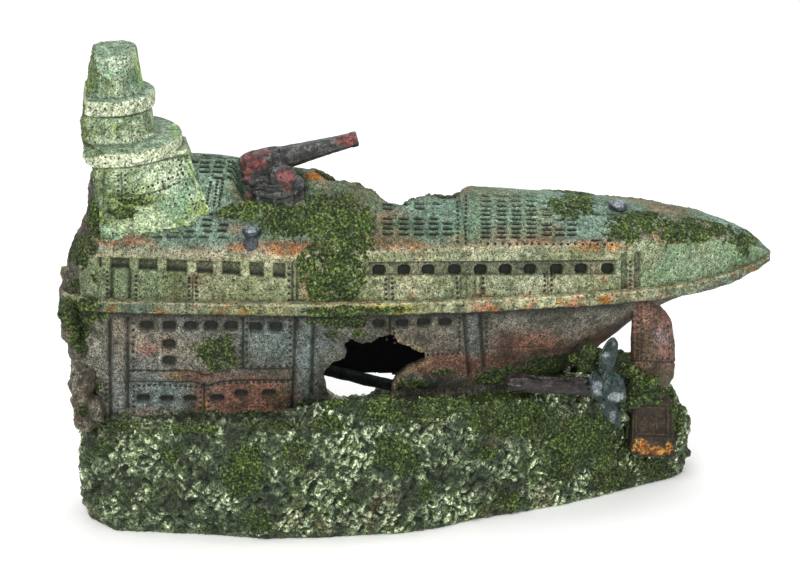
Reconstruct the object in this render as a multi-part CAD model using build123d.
from build123d import *
import math
import os

# Bubbling aquarium ornament: a cast-resin submarine wreck lying on a hollow rock base.
# Units are millimetres. +X points to the bow, +Z is up, -Y is the display side.
# The origin is on the tank floor, under the middle of the ornament's bounding box.

os.makedirs("parts", exist_ok=True)

# ---------------------------------------------------------------- driving dimensions
WALL = 4.0              # cast wall of the hull and the casing
STRAKE_HEIGHT = 7.0     # height of the rubbing strake
STRAKE_OUT = 4.0        # how far the strake stands out of the hull side
STRAKE_Z = 110.0        # middle of the strake over the level fore part
SHEER_X = -41.0         # abaft this station the strake rises
SHEER = 6.0 / 96.0      # rise of the strake per millimetre abaft that station
X_STERN, X_BOW = -156.0, 184.5
X_HULL_BOW = 160        # fore end of the lower hull
X_HULL_SPLIT = -8.0     # joint between the two lower hull castings
X_CASING_SPLIT = 27.0   # joint between the two casing castings
SEAT_FRONT = 58.0       # hull seat on the display side of the rock
SEAT_BACK = 46.0        # hull seat on the back of the rock

OVERCUT = 1.0           # how far a cavity runs past the open edge of its shell
FAR_Y = 60              # sideways cuts end here, clear of the hull
ROCK_CUT_TOP = 80       # upward cuts in the rock end here, clear of it
CUTTER_SIZE = 400       # box that takes one side of a casting joint

STONE_X, STONE_Y = 30.0, 4.0    # axis of the air stone
LINE_Z = 8.0                    # height of the air line where it leaves the rock

# The model is built about the middle of the rock, then moved to the middle of the ornament.
ORIGIN_SHIFT = (-14.25, -3.5, 0.0)

# Station tables: (x, value). Half breadths are along Y, the others are heights.
HALF_STRAKE = [
    (-156, 19), (-150, 26), (-137, 31), (-95, 36), (-41, 40.5), (0, 40.3), (34, 39),
    (73, 37), (112, 32), (143, 23.7), (166, 13.5), (178, 6.5), (184.5, 1.6),
]
HALF_DECK = [
    (-156, 15), (-150, 20), (-137, 24.5), (-95, 29), (-49, 32.5), (0, 33), (35, 32),
    (73, 30.3), (111, 26), (143, 18), (166, 9), (178, 4), (184.5, 0.8),
]
DECK_EDGE_Z = [
    (-156, 139), (-150, 141), (-137, 142), (-95, 141.5), (-49, 139), (0, 136.5), (35, 135.5),
    (73, 134), (111, 133), (143, 130.5), (166, 124), (178, 117.5), (184.5, 114.2),
]
CREST_Z = [
    (-156, 168), (-150, 172), (-137, 176), (-95, 177), (-45, 167.5), (0, 160), (38, 154),
    (79, 149), (118, 143), (148, 136.5), (169, 127), (178, 120.5), (184.5, 115.0),
]
KEEL_Z = [
    (-156, 58), (49, 58), (78, 63), (98, 73), (117, 86), (136, 96), (150, 101.5), (160, 103.5),
]
HALF_KEEL = [
    (-156, 16), (-137, 26), (-95, 31), (-41, 33), (0, 30), (30, 26), (49, 21),
    (78, 13), (98, 9), (117, 7), (136, 5), (150, 4), (160, 3),
]
# x of the loft sections
STATIONS = [
    -156, -150, -137, -116, -95, -68, -41, -24, -8, 10, 27, 42,
    57, 73, 92, 112, 128, 143, 155, 166, 173, 178, 184.5,
]


# ---------------------------------------------------------------- helpers
def value_at(table, x):
    """Monotone cubic interpolation of a station table."""
    xs, values = [row[0] for row in table], [row[1] for row in table]
    if x <= xs[0]:
        return float(values[0])
    if x >= xs[-1]:
        return float(values[-1])
    spans = len(xs) - 1
    chords = [(values[i + 1] - values[i]) / (xs[i + 1] - xs[i]) for i in range(spans)]
    slopes = [chords[0]]
    for before, after in zip(chords, chords[1:]):
        level = before * after <= 0
        slopes.append(0.0 if level else 2 * before * after / (before + after))
    slopes.append(chords[-1])
    i = max(k for k in range(spans) if xs[k] <= x)
    span = xs[i + 1] - xs[i]
    t = (x - xs[i]) / span
    return (
        (2 * t**3 - 3 * t**2 + 1) * values[i]
        + (t**3 - 2 * t**2 + t) * span * slopes[i]
        + (-2 * t**3 + 3 * t**2) * values[i + 1]
        + (t**3 - t**2) * span * slopes[i + 1]
    )


def polygon(points):
    return Face(Wire.make_polygon([Vector(*point) for point in points], close=True))


def face_yz(x, points):
    return polygon([(x, y, z) for y, z in points])


def face_xy(points, z):
    return polygon([(x, y, z) for x, y in points])


def prism_xz(points, y_from, y_to):
    """Outline in the XZ plane, extruded from y_from to y_to."""
    face = polygon([(x, y_from, z) for x, z in points])
    return extrude(face, amount=y_to - y_from, dir=(0, 1, 0))


def prism_xy(points, z_from, z_to):
    return extrude(face_xy(points, z_from), amount=z_to - z_from, dir=(0, 0, 1))


def turned(profile):
    """Turn an (r, z) profile about the Z axis."""
    return revolve(polygon([(r, 0, z) for r, z in profile]), Axis.Z)


def stadium(x, z, width, height, y_from, y_to):
    """Oval porthole cutter along Y."""
    y_mid, depth = (y_from + y_to) / 2, y_to - y_from
    shape = Pos(x, y_mid, z) * Box(width - height, depth, height)
    for side in (-1, 1):
        end_x = x + side * (width - height) / 2
        shape += Pos(end_x, y_mid, z) * Rot(90, 0, 0) * Cylinder(height / 2, depth)
    return shape


def rod(start, end, radius, end_radius=None):
    """Round bar, or a cone when end_radius is given."""
    start, end = Vector(*start), Vector(*end)
    plane = Plane(origin=start, z_dir=(end - start).normalized())
    length = (end - start).length
    if end_radius is None:
        return plane * Pos(0, 0, length / 2) * Cylinder(radius, length)
    return plane * Pos(0, 0, length / 2) * Cone(radius, end_radius, length)


def largest(shape):
    return max(shape.solids(), key=lambda solid: solid.volume)


def side_of_joint(shape, x_joint, side):
    """Part of a shape abaft (-1) or forward (+1) of a joint."""
    box = Box(CUTTER_SIZE, CUTTER_SIZE, CUTTER_SIZE)
    return shape & (Pos(x_joint + side * CUTTER_SIZE / 2, 0, 150) * box)


def save(shape, name):
    solids = (Pos(*ORIGIN_SHIFT) * shape).solids()
    out = solids[0] if len(solids) == 1 else Compound(children=list(solids))
    export_step(out, f"parts/{name}.step")


# ---------------------------------------------------------------- hull sections
def strake_z(x):
    return STRAKE_Z + (SHEER * (SHEER_X - x) if x < SHEER_X else 0.0)


def half_hull(x):
    """Half breadth of the hull side behind the strake."""
    return value_at(HALF_STRAKE, x) - STRAKE_OUT


def strake_section(x, inset=0.0, grow=0.0):
    half = max(value_at(HALF_STRAKE, x) - inset, 0.8)
    z, rise = strake_z(x), STRAKE_HEIGHT / 2 + grow
    return face_yz(x, [(-half, z - rise), (half, z - rise), (half, z + rise), (-half, z + rise)])


def casing_section(x, inset=0.0, drop=0.0):
    """Half-barrel casing: battered side, deck edge, crowned deck. inset gives the inside."""
    half = max(half_hull(x) - inset, 0.6)
    deck = max(value_at(HALF_DECK, x) - inset, 0.4)
    edge = value_at(DECK_EDGE_Z, x) - inset * 0.6
    crest = value_at(CREST_Z, x) - inset * 1.05
    low = strake_z(x) + STRAKE_HEIGHT / 2 - drop
    arch = [
        (deck * t, edge + (crest - edge) * (1 - abs(t) ** 1.8))
        for t in (-1, -0.8, -0.5, -0.2, 0.2, 0.5, 0.8, 1)
    ]
    return face_yz(x, [(-half, low)] + arch + [(half, low)])


def hull_section(x, inset=0.0, drop=0.0, top=0.0):
    """Lower hull: wide at the strake, drawn in to the keel. The back runs to the lower seat."""
    high = strake_z(x) - STRAKE_HEIGHT / 2 + top
    half = max(half_hull(x) - inset, 0.8)
    keel, half_keel = value_at(KEEL_Z, x), max(value_at(HALF_KEEL, x) - inset, 0.5)
    back = SEAT_BACK + max(0.0, keel - SEAT_FRONT) if x < 60 else keel
    if inset and x > 52:
        # forward of the rock opening the cavity keeps a bottom wall
        keel, back = keel + inset, back + inset
    mid = 0.45 * high + 0.55 * keel
    bulge = half_keel + (half - half_keel) * 0.72
    return face_yz(x, [
        (-half, high), (-bulge, mid), (-half_keel, keel - drop),
        (half_keel, back - drop), (bulge, mid), (half, high),
    ])


def body(section, x_aft, x_fore, **options):
    """Loft a section function between two stations."""
    xs = [x_aft] + [x for x in STATIONS if x_aft + 3 < x < x_fore - 3] + [x_fore]
    return loft([section(x, **options) for x in xs], ruled=True)


# ---------------------------------------------------------------- rubbing strake
def make_strake():
    strake = body(strake_section, X_STERN, X_BOW)
    inset = STRAKE_OUT + WALL
    return strake - body(strake_section, X_STERN + 12, 164, inset=inset, grow=OVERCUT)


# ---------------------------------------------------------------- casing
# (x, y) outline of the hole torn in the deck
DECK_TEAR = [
    (-38, -2), (-32, -7), (-24, -6), (-18, -7), (-11, -11), (-5, -16), (0, -16),
    (7, -13), (14, -9), (20, -11), (27, -10), (31, -3), (34, 2), (30, 14),
    (18, 18), (8, 24), (-8, 26), (-20, 20), (-32, 16), (-40, 8),
]
WINDOW_COUNT, WINDOW_X, WINDOW_PITCH = 8, -2.0, 11.9
WINDOW_WIDTH, WINDOW_HEIGHT = 6.2, 4.6
GALLERY_COUNT, GALLERY_X, GALLERY_PITCH = 6, -129.0, 13.4
GALLERY_WIDTH, GALLERY_HEIGHT = 8.4, 6.4


def side_span(side, reach):
    """Y range from a half breadth out past the hull, on either side."""
    return (-FAR_Y, -reach) if side < 0 else (reach, FAR_Y)


def make_casing(outer_casing):
    casing = outer_casing - body(casing_section, X_STERN + 11, 160, inset=WALL, drop=OVERCUT)
    casing -= prism_xy(DECK_TEAR, 138, 200)
    for side in (-1, 1):
        # oval window strip, from amidships to the bow
        for k in range(WINDOW_COUNT):
            x = WINDOW_X + WINDOW_PITCH * k
            z = 125.6 - 0.01 * x
            span = side_span(side, value_at(HALF_DECK, x) + 0.6)
            casing -= stadium(x, z, WINDOW_WIDTH, WINDOW_HEIGHT, *span)
        # square-cornered gallery openings at the stern
        for k in range(GALLERY_COUNT):
            x = GALLERY_X + GALLERY_PITCH * k
            z = 132.5 - 0.02 * (x - GALLERY_X)
            y_from, y_to = side_span(side, value_at(HALF_DECK, x) - 0.4)
            opening = Box(GALLERY_WIDTH, y_to - y_from, GALLERY_HEIGHT)
            casing -= Pos(x, (y_from + y_to) / 2, z) * opening
    return casing


# ---------------------------------------------------------------- lower hull
# (x, z) outlines of the hole in the display side and the gap low in the back
SIDE_TEAR = [
    (-37.9, 50), (-37.8, 80.8), (-29.2, 85.3), (-28.0, 92.8), (-26.1, 94.9), (-21.4, 92.4),
    (-16.8, 92.7), (-13.7, 96.1), (-6.7, 96.8), (-3.6, 92.2), (8.2, 87.4), (9.0, 84.1),
    (-2.0, 78.3), (-6.7, 71.0), (-11.0, 66.0), (-14.0, 50),
]
BACK_GAP = [(-60, 52), (-60, 44), (-30, 44), (10, 44), (10, 47), (-10, 48.5), (-34, 51)]
# (x, z) of the ports in the display side
PORTS = [
    (-122.9, 102.8), (-111.8, 102.6), (-102.2, 102.4), (-92.6, 102.2), (-82.4, 102.0),
    (-71.5, 101.8), (-61.4, 101.6), (-112.0, 93.2), (-112.0, 85.6),
    (-24.4, 101.6), (-13.2, 101.6), (-2.4, 101.4), (7.6, 101.4), (17.9, 101.4),
]
LOW_PORTS = [
    (-123.8, 68.5), (-113.0, 68.3), (-101.7, 68.0), (-89.1, 68.0), (-77.7, 69.4), (-64.8, 69.4),
]
PORT_WIDTH, PORT_HEIGHT, LOW_PORT_HEIGHT = 6.4, 4.6, 3.2
PORT_DEPTH, LOW_PORT_DEPTH = 3.0, 5.6   # measured in from the hull's half breadth


def make_hull(hull_shell):
    hull = hull_shell - body(hull_section, 52.5, 140, inset=WALL, top=OVERCUT)
    hull -= prism_xz(SIDE_TEAR, -FAR_Y, -12)
    hull -= prism_xz(BACK_GAP, 12, FAR_Y)
    for x, z in PORTS:
        y_inner = -(half_hull(x) - PORT_DEPTH) + (103 - z) * 0.06
        hull -= stadium(x, z, PORT_WIDTH, PORT_HEIGHT, -FAR_Y, y_inner)
    for x, z in LOW_PORTS:
        y_inner = -(half_hull(x) - LOW_PORT_DEPTH)
        hull -= stadium(x, z, PORT_WIDTH, LOW_PORT_HEIGHT, -FAR_Y, y_inner)
    return hull


# ---------------------------------------------------------------- rock base
# (x, y) floor outline: along the display side to the bow, then back along the far side
ROCK_OUTLINE = [
    (-150, -15), (-138, -29), (-118, -36), (-95, -41), (-70, -47), (-48, -51), (-26, -52.5),
    (-5, -51), (14, -48), (30, -44), (52, -38), (76, -32), (97, -26), (120, -17), (138, -9),
    (146, 0),
    (143, 14), (130, 24), (108, 32), (84, 37), (58, 42), (30, 46), (4, 49), (-26, 50),
    (-56, 48), (-86, 43), (-114, 36), (-138, 26), (-151, 8),
]
# (z, outward growth, phase of the ripple)
ROCK_RINGS = [
    (0, 0, 0.0), (9, 1.5, 0.4), (26, 2.6, 1.3), (44, 0.2, 2.6), (57, -2.6, 3.2), (67, -8.0, 4.0),
]
# (x, y) outlines of the cuts
ROCK_HOLLOW = [
    (-134, -14), (-118, -22), (-80, -27), (-30, -29), (20, -26), (50, -19), (66, -12),
    (68, 8), (52, 18), (20, 25), (-30, 28), (-80, 25), (-118, 19), (-134, 12),
]
HULL_SEAT = [
    (-170, -30), (-150, -32), (-137, -36), (-95, -40), (-41, -43), (0, -42), (34, -39),
    (60, -34), (60, 70), (-170, 70),
]
BACK_SEAT = [(-170, -3), (60, -3), (60, 70), (-170, 70)]
FORE_SHELF = [(60, -42), (96, -38), (128, -24), (160, -10), (160, 60), (60, 60)]
BOW_SHELF = [(96, -60), (160, -60), (160, 60), (104, 60)]
STERN_SHELF = [(-170, -60), (-96, -60), (-96, 60), (-170, 60)]
# (x, z) outline of the notch in the back
BACK_NOTCH = [(-54, 90), (-50, 36), (-30, 32.5), (-4, 32.0), (22, 36), (28, 90)]


def rock_ring(z, grow, phase):
    points = []
    for i, (x, y) in enumerate(ROCK_OUTLINE):
        x_scale = 1 + (grow + 1.7 * math.sin(2.3 * i + phase)) / math.hypot(x, y * 2.6)
        y_scale = 1 + (grow + 1.5 * math.sin(1.9 * i + phase)) / 50.0
        points.append((x * x_scale, y * y_scale))
    return face_xy(points, z)


def line_arch(z_bottom, half_width, shoulder_x, shoulder_rise, crown_rise):
    """(x, z) outline of an arch over the air line."""
    return [
        (STONE_X - half_width, z_bottom), (STONE_X - half_width, LINE_Z),
        (STONE_X - shoulder_x, LINE_Z + shoulder_rise), (STONE_X, LINE_Z + crown_rise),
        (STONE_X + shoulder_x, LINE_Z + shoulder_rise),
        (STONE_X + half_width, LINE_Z), (STONE_X + half_width, z_bottom),
    ]


def make_rock(outer_hull):
    rock = loft([rock_ring(*ring) for ring in ROCK_RINGS], ruled=True)
    for cut in [
        # hollow underneath, open from the tank floor up into the hull
        prism_xy(ROCK_HOLLOW, -1, ROCK_CUT_TOP),
        prism_xy(HULL_SEAT, SEAT_FRONT, ROCK_CUT_TOP),
        prism_xy(BACK_SEAT, SEAT_BACK, ROCK_CUT_TOP),
        prism_xz(BACK_NOTCH, 16, ROCK_CUT_TOP),
        prism_xy(FORE_SHELF, 60.0, ROCK_CUT_TOP),
        prism_xy(BOW_SHELF, 55.0, ROCK_CUT_TOP),
        prism_xy(STERN_SHELF, 62.0, ROCK_CUT_TOP),
        # slot for the air line through the back rim, open to the floor
        prism_xz(line_arch(-1, 5, 4.1, 3, 5), 0, 70),
    ]:
        rock -= cut
    return largest(rock - outer_hull)


# ---------------------------------------------------------------- conning tower
TOWER_X, TOWER_TILT = -133.0, 5.0   # the tilt leans it to the display side
TOWER_PIVOT_Z = 178
TOWER_PROFILE = [   # (r, z)
    (0, 128), (17.0, 128), (17.0, 148), (22.0, 150.5), (23.6, 175.5), (28.0, 176.5),
    (28.6, 180.5), (27.4, 182.5), (19.5, 182.6), (18.6, 199.5), (22.2, 200.3),
    (22.8, 203.8), (21.6, 205.4), (15.6, 205.4), (12.6, 226.5), (0, 228.5),
]
# (x, z) outline that breaks away the aft side
TOWER_BREAK = [
    (-200, 110), (-146, 110), (-147, 150), (-145, 172), (-146.5, 184), (-149.5, 190),
    (-149.0, 204), (-146.0, 212), (-143.5, 226), (-142.5, 240), (-200, 240),
]


def make_tower(outer_casing):
    prow = loft([
        face_xy([(10, -12), (41, 0), (10, 12)], 128),
        face_xy([(12, -14), (29, 0), (12, 14)], 176),
    ], ruled=True)
    tower = turned(TOWER_PROFILE) + prow
    lean = Pos(TOWER_X, 0, TOWER_PIVOT_Z) * Rot(TOWER_TILT, 0, 0) * Pos(0, 0, -TOWER_PIVOT_Z)
    tower = lean * tower
    tower -= prism_xz(TOWER_BREAK, -FAR_Y, FAR_Y)
    return largest(tower - outer_casing)


# ---------------------------------------------------------------- deck gun
GUN_X, GUN_Y = -59.5, -13.0
GUN_ELEVATION = 13.0
BREECH_R = 7.0


def make_pedestal(outer_casing):
    column = Cylinder(13.2, 20) + Pos(0, 0, 11.5) * Cone(12.0, 10.4, 3)
    pedestal = Pos(GUN_X, GUN_Y, 157.0) * Rot(6, 0, 0) * column
    return largest(pedestal - outer_casing)


def along_barrel(distance):
    angle = math.radians(GUN_ELEVATION)
    root = Vector(GUN_X - 5, GUN_Y, 177.5)
    point = root + Vector(math.cos(angle), 0, math.sin(angle)) * distance
    return (point.X, point.Y, point.Z)


def make_gun(pedestal):
    breech_end = along_barrel(-6)
    gun = rod(breech_end, along_barrel(15), BREECH_R, 6.4) + Pos(*breech_end) * Sphere(BREECH_R)
    gun += rod(along_barrel(14), along_barrel(46), 5.6, 3.7)
    # muzzle ring and cross drum
    gun += rod(along_barrel(45.5), along_barrel(48), 4.1)
    gun += Pos(GUN_X + 4.5, GUN_Y, 175) * Rot(90, 0, 0) * Cylinder(7.4, 14)
    gun -= rod(along_barrel(30), along_barrel(50), 2.2)
    return largest(gun - pedestal)


# ---------------------------------------------------------------- bollards
BOLLARD_PROFILE = [     # (r, z)
    (0, -6), (3.0, -6), (3.0, 0.6), (2.5, 1.6), (2.4, 3.4),
    (4.0, 4.4), (4.2, 6.0), (3.2, 7.2), (0, 7.5),
]


def make_bollard(x, y, z, tilt, outer_casing):
    return largest(Pos(x, y, z) * Rot(tilt, 0, 0) * turned(BOLLARD_PROFILE) - outer_casing)


# ---------------------------------------------------------------- wreckage on the rock
HUB_AT = (98, -32.5, 62.5)
PROPELLER_YAW = 8
FIRST_BLADE_TURN, BLADE_COUNT = 8, 3
# (z, (x, y) outline) of the plate under the bow
SUPPORT_RINGS = [
    (50, [(115, -12), (121, -15), (130, -15), (137, -11),
          (136, -5), (129, -9), (122, -9), (117, -6)]),
    (74, [(115, -11), (120, -14), (129, -14), (136, -10),
          (135, -4), (128, -8), (121, -8), (117, -5)]),
    (99, [(116, -5), (119, -8), (126, -8), (130, -5),
          (129, 1), (125, -2), (120, -2), (118, 1)]),
]


def make_shaft(rock, outer_hull):
    shaft = rod((50, -38.5, 65.5), (92, -33.5, 63.5), 4.8, 4.4)
    return largest(shaft - rock - outer_hull)


def make_propeller(rock, outer_hull, shaft):
    frame = Pos(*HUB_AT) * Rot(0, 0, PROPELLER_YAW)
    propeller = frame * Rot(0, 90, 0) * Cylinder(5.6, 11)
    propeller += Pos(*HUB_AT) * Pos(5.5, 0.8, 0) * Sphere(5.4)
    for k in range(BLADE_COUNT):
        turn = FIRST_BLADE_TURN + k * 360 / BLADE_COUNT
        leaf = extrude(Plane.XZ * Ellipse(5.6, 10.0), 1.1, both=True)
        propeller += frame * Rot(turn, 0, 0) * (Pos(0, 0, 10.5) * Rot(0, 0, 38) * leaf)
    return largest(propeller - rock - outer_hull - shaft)


def make_bow_support(rock, outer_hull, strake):
    plate = loft([face_xy(points, z) for z, points in SUPPORT_RINGS], ruled=True)
    return largest(plate - rock - outer_hull - strake)


def make_fragment():
    """Leaning plate with a shallow recess in its display face."""
    lean = Rot(0, 4, 0) * Rot(0, 0, 20)
    plate = Pos(120.5, -21.0, 36.5) * lean * Box(21.5, 7.0, 29.0)
    return plate - Pos(120.5, -24.2, 36.5) * lean * Box(14.0, 2.0, 16.0)


# ---------------------------------------------------------------- air kit
STONE_R, STONE_Z_LOW, STONE_Z_HIGH = 8.0, 42.0, 68.0
STEM_R, STEM_BORE_R, STEM_LENGTH = 2.0, 1.1, 19
HOSE_FIT = 0.05                 # play of the hose on the parts inside it
HOSE_IN_R, HOSE_OUT_R = STEM_R + HOSE_FIT, 3.0
HOSE_BEND = 14.0
HOSE_END_Y = 30.0
SPIGOT_R, SPIGOT_LENGTH = 2.25, 12.0
SLEEVE_R = 3.1                  # connector sleeve and the grommet bore around it
RIM_Y = 47.0                    # back rim of the rock at the air line
FLANGE_END_Y = RIM_Y + 3.5
CRADLE_Z, CRADLE_HEIGHT = 50, 4


def on_stone_axis(z):
    return Pos(STONE_X, STONE_Y, z)


def line_rod(y_from, y_to, radius):
    """Round bar on the axis of the air line."""
    return rod((STONE_X, y_from, LINE_Z), (STONE_X, y_to, LINE_Z), radius)


def make_stone():
    middle = (STONE_Z_LOW + STONE_Z_HIGH) / 2
    stone = on_stone_axis(middle) * Cylinder(STONE_R, STONE_Z_HIGH - STONE_Z_LOW)
    stone = chamfer(stone.edges(), 1.2)
    return stone - on_stone_axis(STONE_Z_LOW + 3) * Cylinder(STEM_R, 6.2)


def make_stem():
    middle = on_stone_axis(STONE_Z_LOW - 3.5)
    stem = middle * Cylinder(STEM_R, STEM_LENGTH)
    stem += on_stone_axis(STONE_Z_LOW - 0.75) * Cylinder(4.0, 1.5)
    return stem - middle * Cylinder(STEM_BORE_R, STEM_LENGTH + 0.2)


def make_hose():
    """Down from the stem, then round a bend to the back."""
    top = (STONE_X, STONE_Y, STONE_Z_LOW - 2.5)
    bend_start = (STONE_X, STONE_Y, LINE_Z + HOSE_BEND)
    bend_middle = (
        STONE_X,
        STONE_Y + HOSE_BEND * (1 - math.cos(math.pi / 4)),
        LINE_Z + HOSE_BEND * (1 - math.sin(math.pi / 4)),
    )
    bend_end = (STONE_X, STONE_Y + HOSE_BEND, LINE_Z)
    path = Wire([
        Edge.make_line(top, bend_start),
        Edge.make_three_point_arc(bend_start, bend_middle, bend_end),
        Edge.make_line(bend_end, (STONE_X, HOSE_END_Y, LINE_Z)),
    ])
    start = Plane(origin=top, z_dir=(0, 0, -1))
    outside = sweep(start * Circle(HOSE_OUT_R), path=path)
    return outside - sweep(start * Circle(HOSE_IN_R), path=path)


def make_connector():
    connector = line_rod(21.0, RIM_Y + 3.0, HOSE_IN_R - HOSE_FIT)
    connector += line_rod(31.0, RIM_Y + 2.5, SLEEVE_R)
    connector += line_rod(RIM_Y + 1.5, FLANGE_END_Y, 4.6)
    connector += line_rod(FLANGE_END_Y, FLANGE_END_Y + SPIGOT_LENGTH, SPIGOT_R)
    return connector - line_rod(20.0, RIM_Y + 20, 1.2)


def make_grommet():
    grommet = prism_xz(line_arch(1.2, 4.8, 3.95, 2.85, 4.75), 34.0, 43.0)
    return grommet - line_rod(30.0, 50, SLEEVE_R)


def make_cradle(rock, hull_shell):
    """Ring round the stone, with an arm to the back."""
    ring = Cylinder(10.6, CRADLE_HEIGHT) - Cylinder(STONE_R + 0.25, CRADLE_HEIGHT + 2)
    arm = Pos(STONE_X, STONE_Y + 16.5, CRADLE_Z) * Box(7, 14.5, CRADLE_HEIGHT)
    cradle = on_stone_axis(CRADLE_Z) * ring + arm
    return largest(cradle - rock - hull_shell)


# ---------------------------------------------------------------- build
strake = make_strake()
outer_casing = body(casing_section, X_STERN, X_BOW)
casing = make_casing(outer_casing)
outer_hull = body(hull_section, X_STERN, X_HULL_BOW)
hull_shell = outer_hull - body(
    hull_section, X_STERN + 10, 50, inset=WALL, drop=OVERCUT, top=OVERCUT)
hull = make_hull(hull_shell)
pedestal = make_pedestal(outer_casing)

# The wreckage is fitted to the whole rock, then the fragment is let into rock and support.
rock = make_rock(outer_hull)
shaft = make_shaft(rock, outer_hull)
propeller = make_propeller(rock, outer_hull, shaft)
bow_support = make_bow_support(rock, outer_hull, strake)
fragment = make_fragment()
rock = largest(rock - fragment)
bow_support = largest(bow_support - fragment)

for name, shape in {
    "rock_base": rock,
    "hull_aft": largest(side_of_joint(hull, X_HULL_SPLIT, -1)),
    "hull_fore": largest(side_of_joint(hull, X_HULL_SPLIT, 1)),
    "rubbing_strake": strake,
    "casing_aft": side_of_joint(casing, X_CASING_SPLIT, -1),
    "casing_fore": side_of_joint(casing, X_CASING_SPLIT, 1),
    "conning_tower": make_tower(outer_casing),
    "gun_pedestal": pedestal,
    "gun_barrel": make_gun(pedestal),
    "bollard_aft": make_bollard(-70.5, -27.0, 144.5, 12, outer_casing),
    "bollard_fore": make_bollard(105.5, -8.0, 143.2, 6, outer_casing),
    "propeller_shaft": shaft,
    "propeller": propeller,
    "bow_support_plate": bow_support,
    "hull_plate_fragment": fragment,
    "air_stone": make_stone(),
    "air_stone_stem": make_stem(),
    "air_hose": make_hose(),
    "hose_connector": make_connector(),
    "line_grommet": make_grommet(),
    "stone_cradle": make_cradle(rock, hull_shell),
}.items():
    save(shape, name)
